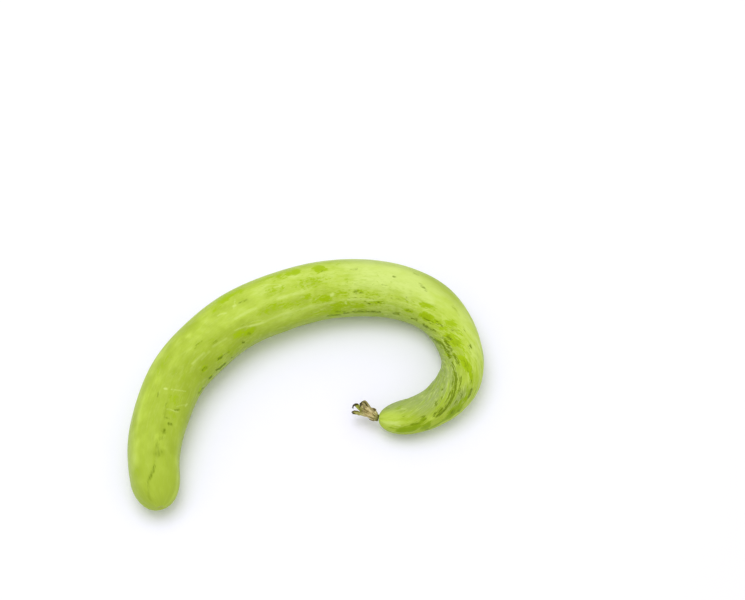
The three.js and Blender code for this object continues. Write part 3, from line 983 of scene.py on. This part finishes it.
def make_streaks_group():
    group = bpy.data.node_groups.new("streaks", "ShaderNodeTree")
    new_socket = group.interface.new_socket
    new_socket("Place", in_out="INPUT", socket_type="NodeSocketVector")
    for name in ("Across", "Along", "Roughness"):
        new_socket(name, in_out="INPUT", socket_type="NodeSocketFloat")
    new_socket("Streak", in_out="OUTPUT", socket_type="NodeSocketFloat")
    nodes = Nodes(group)
    given = nodes.add("NodeGroupInput").outputs
    scale = nodes.add("ShaderNodeCombineXYZ", {
        "X": given["Across"], "Y": given["Along"], "Z": given["Across"]})
    stretched = nodes.add("ShaderNodeVectorMath", {
        0: given["Place"], 1: scale.outputs["Vector"]}, operation="MULTIPLY")
    cloud = nodes.add("ShaderNodeTexNoise", {
        "Vector": stretched.outputs["Vector"], "Scale": 1, "Detail": STREAK_DETAIL,
        "Roughness": given["Roughness"]})
    nodes.add("NodeGroupOutput", {"Streak": cloud.outputs["Fac"]})
    return group


def streaks(nodes, place, across_mm, along_mm, roughness):
    """Streaks about this wide and this long."""
    return nodes.add("ShaderNodeGroup", {
        "Place": place, "Across": 1 / (across_mm * MM), "Along": 1 / (along_mm * MM),
        "Roughness": roughness}, node_tree=streaks_group).outputs["Streak"]


streaks_group = make_streaks_group()
print("the streaks group takes", [item.name for item in streaks_group.interface.items_tree])

# %% [markdown]
# ## The skin's own colour
#
# The painted paleness, made uneven by clouds and small plates of noise, is read as a ramp from full
# green over light green to pale green; where it stands for painted light, the ramp lightens that too.
# Thin coats of grey-green and dull green follow where they are painted, and in places they are
# painted shade. Then come coats of streaks, each a colour through noise of one size. They show most
# where the skin is streaky.

# %% The colour under the marks
FULL_GREEN = (0.425, 0.565, 0.042)
LIGHT_GREEN = (0.55, 0.72, 0.075)
PALE_GREEN = (0.68, 0.84, 0.19)
GREY_GREEN = (0.325, 0.41, 0.12)
DULL_GREEN = (0.32, 0.43, 0.02)
PATCH_GREEN = (0.385, 0.57, 0.0)
DEEP_GREEN = (0.275, 0.43, 0.0)
STROKE_DARK = (0.17, 0.255, 0.0)
STROKE_PALE = (0.72, 0.88, 0.22)
# each noise: the width and length of its streaks in mm, and how rough it is
SKIN_NOISES = {
    "fine": (0.9, 4.5, 0.6),
    "medium": (2.2, 10, 0.6),
    "plates": (6, 8, 0.45),
    "cloud": (12, 30, 0.5),
    "ragged": (1.1, 3.6, 0.7),
    "blotch": (4, 13, 0.55),
    "strands": (0.8, 4, 0.6),
    "grain": (0.7, 1.6, 0.6),
}
LIGHT_RAMP = (-0.1, 0.6)        # the paleness at which light green starts, and covers all
PALE_RAMP = (0.4, 1.1)
PLATES_SHARE = 0.8              # how much the noises make the paleness swing
CLOUD_SHARE = 0.7
WRINKLED_GREY = 0.5             # the fine streaks also show where the skin is grey, by this share
# each coat: its colour, its noise, where its mask is 0 and where full, its strength, where it shows
STREAK_COATS = [
    (PATCH_GREEN, "medium", 0.50, 0.70, 0.55, "streaky"),
    (PATCH_GREEN, "blotch", 0.52, 0.62, 0.40, "streaky"),
    (PALE_GREEN, "medium", 0.48, 0.30, 0.50, "streaky"),
    (DEEP_GREEN, "fine", 0.52, 0.72, 0.50, "wrinkled"),
    (STROKE_PALE, "fine", 0.48, 0.28, 0.30, "wrinkled"),
    (DEEP_GREEN, "ragged", 0.61, 0.69, 0.50, "streakiest"),
]


def swing(nodes, noise_value, amount):
    """Noise of 0 to 1 made to swing about 0, by this much from lowest to highest."""
    return nodes.math("MULTIPLY_ADD", noise_value, amount, -amount / 2)


def skin_colour(nodes, noises):
    """The ramp, the grey and dull areas, with painted light and shade among them, and the coats of
    streaks.
    """
    pale = nodes.math("ADD", nodes.attribute("pale_and_lit"), swing(nodes, noises["cloud"], CLOUD_SHARE))
    pale = nodes.math("ADD", pale, swing(nodes, noises["plates"], PLATES_SHARE))
    grey_and_shade = nodes.attribute("grey_and_shade")
    streaky = nodes.attribute("streaky")
    colour = nodes.over(FULL_GREEN, LIGHT_GREEN, nodes.mask(pale, *LIGHT_RAMP))
    colour = nodes.over(colour, PALE_GREEN, nodes.mask(pale, *PALE_RAMP))
    colour = nodes.over(colour, GREY_GREEN, grey_and_shade)
    colour = nodes.over(colour, DULL_GREEN, nodes.attribute("dull_and_shade"))
    shares = {
        "streaky": streaky,
        "wrinkled": nodes.math("MULTIPLY_ADD", grey_and_shade, WRINKLED_GREY, streaky),
        "streakiest": nodes.math("POWER", streaky, 2.0),
    }
    for coat, noise_name, low, high, strength, where in STREAK_COATS:
        mask = nodes.mask(noises[noise_name], low, high, strength)
        colour = nodes.over(colour, coat, nodes.math("MULTIPLY", mask, shares[where]))
    return colour


print("the skin has", len(SKIN_NOISES), "noises and", len(STREAK_COATS), "coats of streaks")

# %% [markdown]
# ## The marks over it
#
# The painted marks are soft mounds. Noise is added to a mound before it is made a mask, so that
# its edge turns ragged, as it is on the real skin. Where the skin is streaky, the mound is made
# steeper, so the mark is crisper, and strands of noise split it lengthwise. Where it is calm, a
# dark stroke stays soft and is broken up here and there. Patches come first, in a deeper green
# near the tip, then dark strokes, pale strokes, and the corky scar of the stalk.

# %% Marks on the skin
SCAR = (0.42, 0.43, 0.12)
SCAR_STRENGTH = 0.35
PATCH_LEVEL = 0.45              # the height of a mound at which its edge lies
STROKE_LEVEL = 0.5
CRISPNESS = 1.6                 # how much steeper a mark is where the skin is all streaky
PATCH_RAGGED = 1.6              # how far noise swings the height of a patch
CALM_RAGGED = 0.6               # its share where the skin is calm, and what streaks add to it
STREAKY_RAGGED = 1.6
BREAKS = 2.2                    # how far noise swings a dark stroke where the skin is calm
DARK_SPLIT = 3.0                # how far strands swing a stroke where it is streaky
PALE_SPLIT = -1.2


def steeper(nodes, paint, level, times):
    """Makes the mounds of paint so many times steeper where they pass a level."""
    return nodes.math("MULTIPLY_ADD", nodes.math("SUBTRACT", paint, level), times, level)


def with_marks(nodes, colour, noises):
    streaky = nodes.attribute("streaky")
    calm = nodes.math("SUBTRACT", 1.0, streaky)
    torn = nodes.math("MULTIPLY_ADD", streaky, STREAKY_RAGGED, CALM_RAGGED)
    crisp = nodes.math("MULTIPLY_ADD", streaky, CRISPNESS, 1.0)

    wobble = nodes.math("MULTIPLY", swing(nodes, noises["ragged"], PATCH_RAGGED), torn)
    patch = nodes.math("ADD", nodes.attribute("green_patch"), wobble)
    patch = steeper(nodes, patch, PATCH_LEVEL, crisp)
    green = nodes.over(PATCH_GREEN, DEEP_GREEN, nodes.attribute("deep_green"))
    colour = nodes.over(colour, green, nodes.mask(patch, 0.1, 0.9, 0.97))
    colour = nodes.over(colour, STROKE_DARK, nodes.mask(patch, 1.3, 3.2, 0.3))

    breaks = nodes.math("MULTIPLY", swing(nodes, noises["ragged"], BREAKS), calm)
    stroke = nodes.attribute("dark_stroke")
    stroke = nodes.math("MULTIPLY_ADD", breaks, stroke, stroke)
    split = swing(nodes, noises["strands"], DARK_SPLIT)
    stroke = nodes.math("MULTIPLY_ADD", split, streaky, stroke)
    stroke = steeper(nodes, stroke, STROKE_LEVEL, crisp)
    colour = nodes.over(colour, STROKE_DARK, nodes.mask(stroke, 0.15, 0.95, 0.95))

    split = swing(nodes, noises["strands"], PALE_SPLIT)
    stroke = nodes.math("MULTIPLY_ADD", split, streaky, nodes.attribute("pale_stroke"))
    colour = nodes.over(colour, STROKE_PALE, nodes.mask(stroke, 0.15, 0.9, 0.75))
    scar = nodes.math("MULTIPLY", nodes.attribute("stem_scar"), SCAR_STRENGTH)
    return nodes.over(colour, SCAR, scar)


print("a mark is up to", 1 + CRISPNESS, "times as steep where the skin is streaky")

# %% [markdown]
# ## The skin's shine
#
# The skin is thin and slightly waxy, so it has a broad, weak shine that varies a little with the
# streaks. Its grain is far finer than the mesh, so it is left to a bump.

# %% Finish the cucumber
SKIN_ROUGHNESS = 0.38
ROUGHER_STREAKS = 0.1
THREAD_HEIGHT = 0.9             # of the fine streaks, where the grain's is 1
GRAIN_DEPTH_MM = 0.12
GRAIN_STRENGTH = 0.5


def make_skin():
    material, nodes, shader = new_finish("cucumber_skin")
    place = nodes.attribute("skin_place", "Vector")
    noises = {name: streaks(nodes, place, *size) for name, size in SKIN_NOISES.items()}
    colour = with_marks(nodes, skin_colour(nodes, noises), noises)
    rougher = nodes.mask(noises["medium"], 0.3, 0.75, ROUGHER_STREAKS)
    threads = nodes.math("MULTIPLY", nodes.attribute("streaky"), THREAD_HEIGHT)
    grain = nodes.math("MULTIPLY_ADD", noises["fine"], threads, noises["grain"])
    nodes.feed(shader, {
        "Base Color": colour,
        "Roughness": nodes.math("ADD", rougher, SKIN_ROUGHNESS),
        "Specular IOR Level": 0.1,
        "Sheen Weight": 0.04,
        "Sheen Roughness": 0.4,
        "Normal": nodes.relief(grain, GRAIN_DEPTH_MM, GRAIN_STRENGTH),
    })
    return material


skin_material = make_skin()
cucumber = add_object("cucumber", fruit_mesh, skin_material)
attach(cucumber, "root")
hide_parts("fruit")
print("the skin has", len(skin_material.node_tree.nodes), "nodes")

# %% [markdown]
# ## The withered flower
#
# A cucumber's flower sits on the far tip of the fruit. When it has done its work it shrivels: the
# petals fold together into a papery, tan bundle, their ends curl and darken, and one or two keep
# a little green. Each piece is made straight, along a line of its own that turns on from the
# fruit's tip, and is bent along it, as the fruit was.

# %% The flower's line
FLOWER_STEP = 4 * MM
FLOWER_TURNS = [-8, -34, -38, -34, -27, -20, -14]      # from the heading of the fruit's tip
PIECE_GAP = 0.3 * MM            # between the fruit and the flower
CALYX_LENGTH = 4.2 * MM
CALYX_NECK = 2.5 * MM
CALYX_RIM = 3.6 * MM
CALYX_FLARE = 0.8 * MM          # where the tube starts to widen

tip_x, tip_y, tip_heading = middle_line(fruit_start, HEADINGS, STATION_STEP,
                                        np.array([FRUIT_LENGTH]))
tip_height = float(fruit_height(FRUIT_LENGTH))
flower_headings = [HEADINGS[-1] + turn for turn in FLOWER_TURNS]
flower_start = (tip_x[0] + PIECE_GAP * math.cos(tip_heading[0]),
                tip_y[0] + PIECE_GAP * math.sin(tip_heading[0]))


def calyx_radius(distance):
    return CALYX_NECK + (CALYX_RIM - CALYX_NECK) * smoothstep(distance, CALYX_FLARE, CALYX_LENGTH)


def bend_flower_piece(mesh, right, distance, up):
    """Bends a straight piece of the flower into its place."""
    move_points(mesh, bent(flower_start, flower_headings, FLOWER_STEP, distance, right,
                           tip_height + up))


print("the flower starts at, in mm:", [round(x / MM, 1) for x in flower_start])

# %% [markdown]
# ## Dry tissue
#
# The tube, the petals and the sepals are the same kind of tissue, dried more or less. One recipe
# makes all three finishes: it is darker in veins and withered ends, and green where the painted
# attribute says that it has not dried. Its hollows are darker and its raised folds paler, as
# painted shade and a painted highlight.

# %% Finishes for dry tissue
STILL_GREEN = (0.37, 0.42, 0.04)
# each finish: the tissue's own colour, its dark and its pale colour, which also serve as painted
# shade and highlight, and how rough it is
DRY_FINISHES = {
    "dry_petal": ((0.57, 0.47, 0.17), (0.07, 0.055, 0.002), (0.82, 0.71, 0.36), 0.8),
    "dry_calyx": ((0.62, 0.54, 0.19), (0.08, 0.07, 0.006), (0.80, 0.71, 0.32), 0.75),
    "dry_sepal": ((0.24, 0.19, 0.06), (0.05, 0.04, 0.010), (0.40, 0.32, 0.12), 0.8),
}


def make_dry(name, ground, dark, pale, roughness):
    material, nodes, shader = new_finish(name)
    place = nodes.attribute("own_place", "Vector")
    vein = streaks(nodes, place, 0.45, 4.5, 0.6)
    blotch = streaks(nodes, place, 2.2, 3.5, 0.55)
    fold_shading = nodes.attribute("fold_shading")
    coats = [
        (pale, nodes.mask(blotch, 0.48, 0.66, 0.6)),
        # a painted highlight on the raised folds
        (pale, nodes.mask(fold_shading, 0.1, 0.9, 0.8)),
        (STILL_GREEN, nodes.attribute("still_green")),
        (dark, nodes.mask(vein, 0.54, 0.74, 0.5)),
        (dark, nodes.mask(blotch, 0.42, 0.3, 0.4)),
        # painted shade in the hollows between folds
        (dark, nodes.mask(fold_shading, -0.2, -0.8, 0.9)),
        # darker where withered, and on some petals as painted shade
        (dark, nodes.attribute("withered_and_shade")),
    ]
    colour = ground
    for coat, mask in coats:
        colour = nodes.over(colour, coat, mask)
    nodes.feed(shader, {
        "Base Color": colour,
        "Roughness": roughness,
        "Specular IOR Level": 0.25,
        "Normal": nodes.relief(vein, 0.25, 0.8),
    })
    return material


dry_materials = {name: make_dry(name, *looks) for name, looks in DRY_FINISHES.items()}


def add_dry_piece(mesh, node, slot):
    """Puts a finished flower piece in the scene in place of its packed node."""
    piece = add_object("dry_" + node, mesh, dry_materials[slot])
    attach(piece, "root")
    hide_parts(node)
    return piece


def paint_dry(mesh, own_place, fold_shading, withered_and_shade, still_green):
    add_attribute(mesh, "own_place", own_place)
    add_attribute(mesh, "fold_shading", fold_shading)
    add_attribute(mesh, "withered_and_shade", withered_and_shade)
    add_attribute(mesh, "still_green", still_green)


print("finishes for dry tissue:", list(dry_materials))

# %% [markdown]
# ## Calyx tube
#
# The short tube between fruit and petals is spun from an outline like the fruit, and then puckered
# lengthwise, as it has dried round the base of the flower. Its far end is a shallow dish, out of
# which the petals stand.

# %% Calyx tube
CALYX_RINGS = 22
CALYX_STEPS = 72
CALYX_BACK = -0.25 * MM         # the tube's closed end reaches this far back over its line's start
DISH_EDGE = 0.5 * MM
DISH_DEPTH = 1.2 * MM
BIG_PUCKERS = 10
SMALL_PUCKERS = 23


def make_calyx_tube():
    distances = np.linspace(CALYX_BACK, CALYX_LENGTH, CALYX_RINGS)
    outline = [(CALYX_BACK, 0), *zip(distances, calyx_radius(distances)),
               (CALYX_LENGTH - DISH_EDGE, CALYX_RIM * 0.8), (CALYX_LENGTH - DISH_DEPTH, 0)]
    mesh = outward_mesh(spun(outline, CALYX_STEPS), "calyx_tube")
    own = read_points(mesh)
    distance = own[:, 1]
    around = np.arctan2(own[:, 0], own[:, 2])
    big = np.cos(BIG_PUCKERS * around + 0.6)
    small = np.sin(SMALL_PUCKERS * around)
    # the puckers get a painted highlight on their ridges and painted shade between them
    paint_dry(mesh, own, 0.6 * big + 0.4 * small,
              0.75 * (1 - smoothstep(distance, 0.4 * MM, 2.2 * MM)),
              0.5 * (1 - smoothstep(distance, 0.5 * MM, 3 * MM)))
    pucker = (1 + 0.07 * big * smoothstep(distance, 0, 3 * MM) + 0.03 * small
              + 0.05 * bumps(own, 1.4, 2, 8))
    bend_flower_piece(mesh, own[:, 0] * pucker, distance, own[:, 2] * pucker)
    return add_dry_piece(mesh, "calyx_tube", "dry_calyx")


calyx_tube = make_calyx_tube()
print("calyx tube:", len(calyx_tube.data.polygons), "faces")

# %% [markdown]
# ## Petals
#
# Each petal starts as a flat grid. It is wrapped part of the way round the flower, bulges at its
# shoulder and its belly, narrows to its tip, is folded in along its middle, and is crumpled by
# noise that is drawn out along it. Two of the five are longer and still green: one reaches
# furthest and ends slanted, in a dark thread that hangs down, and the other bends away from the
# bundle. A thickness is given to the crumpled sheet last, so that both of its sides are crumpled
# alike.

# %% The petals' shapes
PETAL_THICKNESS = 0.32 * MM
PETAL_BASE = 3.1                # in mm, like the other lengths of a petal
PETAL_START = CALYX_LENGTH - 0.6 * MM
WIDEST_BOW = 5.5                # where a petal stands further off the middle, it gets no wider
# roll: the petal's place round the flower, in degrees
# reach: how far it goes round to each side, in degrees
# length, and in mm too: shoulder, its bulge by the base; belly, its bulge further on, which sits
# later with a higher peak; flare, how far the tip turns outwards; slant, how much longer one side
# is; curl, how far a thread at the tip hangs down; furrow, how deep the far half is folded in
# green and dark: how much is still green, and how dark it is painted all over, for dried tissue
# and for shade inside the bundle, from 0 to 1
PETALS = {
    "petal_1": dict(roll=62, reach=36, length=13.4, shoulder=0, belly=2.3, peak=3.2, flare=-1.0,
                    slant=0, curl=0, furrow=1.8, green=0.15, dark=0.4),
    "petal_2": dict(roll=116, reach=38, length=12.6, shoulder=0, belly=1.4, peak=0.9, flare=-1.3,
                    slant=0, curl=0, furrow=0.8, green=0.0, dark=0.0),
    "petal_3": dict(roll=158, reach=34, length=20.2, shoulder=0, belly=0.8, peak=0.8, flare=-5.6,
                    slant=1.8, curl=5.8, furrow=0.3, green=0.9, dark=0.0),
    "petal_4": dict(roll=200, reach=60, length=15.8, shoulder=-0.7, belly=2.0, peak=1.3, flare=4.4,
                    slant=0, curl=0, furrow=0.5, green=0.55, dark=0.0),
    "petal_5": dict(roll=340, reach=44, length=13.0, shoulder=1.5, belly=0.3, peak=1.6, flare=-1.0,
                    slant=0, curl=0, furrow=0, green=0.0, dark=0.15),
}
print("the petals are", [shape["length"] for shape in PETALS.values()], "mm long")

# %% Make the petals
FIRST_SEED = 31
PETAL_GRID = (22, 64)           # faces across it, and along it
PETAL_SPAN = 3 * MM             # half its width, for the noise alone


def make_petal(node, seed, roll, reach, length, shoulder, belly, peak, flare, slant, curl,
               furrow, green, dark):
    bm = bmesh.new()
    bmesh.ops.create_grid(bm, x_segments=PETAL_GRID[0], y_segments=PETAL_GRID[1], size=1)
    mesh = outward_mesh(bm, node)
    grid = read_points(mesh)
    across = grid[:, 0]             # -1 at one edge, 1 at the other
    part = grid[:, 1] / 2 + 0.5     # 0 at the base, 1 at the tip
    layer = np.full(len(part), seed * MM)
    place = np.stack([across * PETAL_SPAN, part * length * MM, layer], axis=1)
    has_thread = min(curl, 1)
    thread = has_thread * smoothstep(part, 0.78, 0.83)

    # how deep it is crumpled and how far its middle is folded in, neither of them at its base
    crumple = bumps(place, 1.2, 5, seed) + 0.5 * bumps(place, 0.6, 2, seed + 20)
    crumple -= furrow * mound(across, 0.28) * smoothstep(part, 0.35, 0.65)
    crumple *= smoothstep(part, 0, 0.2) * (1 - thread)

    # how far it stands off the flower's line, to its side and along it
    narrow = np.sqrt(1 - 0.7 * part ** 3) * (1 - 0.58 * thread)
    over = curl * smoothstep(part, 0.8, 1)
    out = (PETAL_BASE + belly * np.sin(math.pi * part ** peak) + flare * part ** 3
           + shoulder * smoothstep(part, 0, 0.16) * (1 - smoothstep(part, 0.16, 0.5))
           + 0.7 * crumple + 0.45 * over - 0.5 * np.cos(math.pi * across) * part * narrow)
    side = across * narrow * (1 + 0.12 * bumps(place, 9, 5, seed)) - 0.6 * thread
    further = part * length - slant * side * smoothstep(part, 0.4, 0.8) - 0.41 * over

    # wrapped round the line no closer than its base is; what is closer moves straight inwards
    bow = np.maximum(out, PETAL_BASE)
    turn = np.radians(roll - reach * side * WIDEST_BOW / np.maximum(bow, WIDEST_BOW))
    middle = math.radians(roll)
    right = bow * np.cos(turn) + (out - bow) * math.cos(middle)
    up = bow * np.sin(turn) + (out - bow) * math.sin(middle) - over

    edge = smoothstep(np.abs(across), 0.8, 1) * (0.3 + 0.5 * part)
    tip = smoothstep(part, 0.84 - 0.13 * has_thread, 0.94 - 0.17 * has_thread)
    # the crumples get a painted highlight on their ridges and painted shade in their hollows, and the
    # dark amount darkens the whole petal, partly as painted shade
    paint_dry(mesh, place, crumple, np.maximum(np.maximum(edge, tip), dark),
              green * smoothstep(part, 0.15, 0.6))
    bend_flower_piece(mesh, right * MM, PETAL_START + further * MM, up * MM)
    thick = bmesh.new()
    thick.from_mesh(mesh)
    bmesh.ops.solidify(thick, geom=thick.faces, thickness=PETAL_THICKNESS)
    bmesh.ops.recalc_face_normals(thick, faces=thick.faces)
    thick.to_mesh(mesh)
    thick.free()
    return add_dry_piece(mesh, node, "dry_petal")


for seed, (node, shape) in enumerate(PETALS.items(), start=FIRST_SEED):
    petal = make_petal(node, seed, **shape)
    print(node, "has", len(petal.data.polygons), "faces")

# %% [markdown]
# ## Sepals
#
# Between the petals stand five sepals, no bigger than a splinter. Each is a cone that is drawn out
# thin, stands off the flare of the tube and sways a little to one side.

# %% Sepals
SEPAL_LENGTH = 3.4 * MM
SEPAL_BASE = 0.42 * MM
SEPAL_POINT = 0.06 * MM
SEPAL_START = 1.9 * MM          # from the base of the tube
SEPAL_OFF = 0.15 * MM           # from the tube's skin
SEPAL_SWAY = 0.25 * MM
BETWEEN_PETALS = 36             # degrees on from the petal before


def make_sepal(node, roll_degrees, seed):
    bm = bmesh.new()
    bmesh.ops.create_cone(bm, cap_ends=True, segments=10, radius1=SEPAL_BASE, radius2=SEPAL_POINT,
                          depth=SEPAL_LENGTH)
    bmesh.ops.subdivide_edges(bm, edges=bm.edges, cuts=4, use_grid_fill=True)
    mesh = outward_mesh(bm, node)
    own = read_points(mesh)
    nothing = np.zeros(len(own))
    paint_dry(mesh, own, nothing, 0.7 * smoothstep(own[:, 2], 0, SEPAL_LENGTH / 2), nothing)
    distance = SEPAL_START + SEPAL_LENGTH / 2 + own[:, 2]
    out = calyx_radius(np.minimum(distance, CALYX_LENGTH)) + SEPAL_OFF + own[:, 0]
    part = (distance - SEPAL_START) / SEPAL_LENGTH
    aside = own[:, 1] + SEPAL_SWAY * np.sin(part * math.pi + seed)
    roll = math.radians(roll_degrees)
    bend_flower_piece(mesh, out * math.cos(roll) - aside * math.sin(roll), distance,
                      out * math.sin(roll) + aside * math.cos(roll))
    return add_dry_piece(mesh, node, "dry_sepal")


for number, shape in enumerate(PETALS.values(), start=1):
    make_sepal(f"sepal_{number}", shape["roll"] + BETWEEN_PETALS, number)
print("five sepals")

# %% [markdown]
# ## Sizes
#
# The finished model has to keep the size of the packed one.
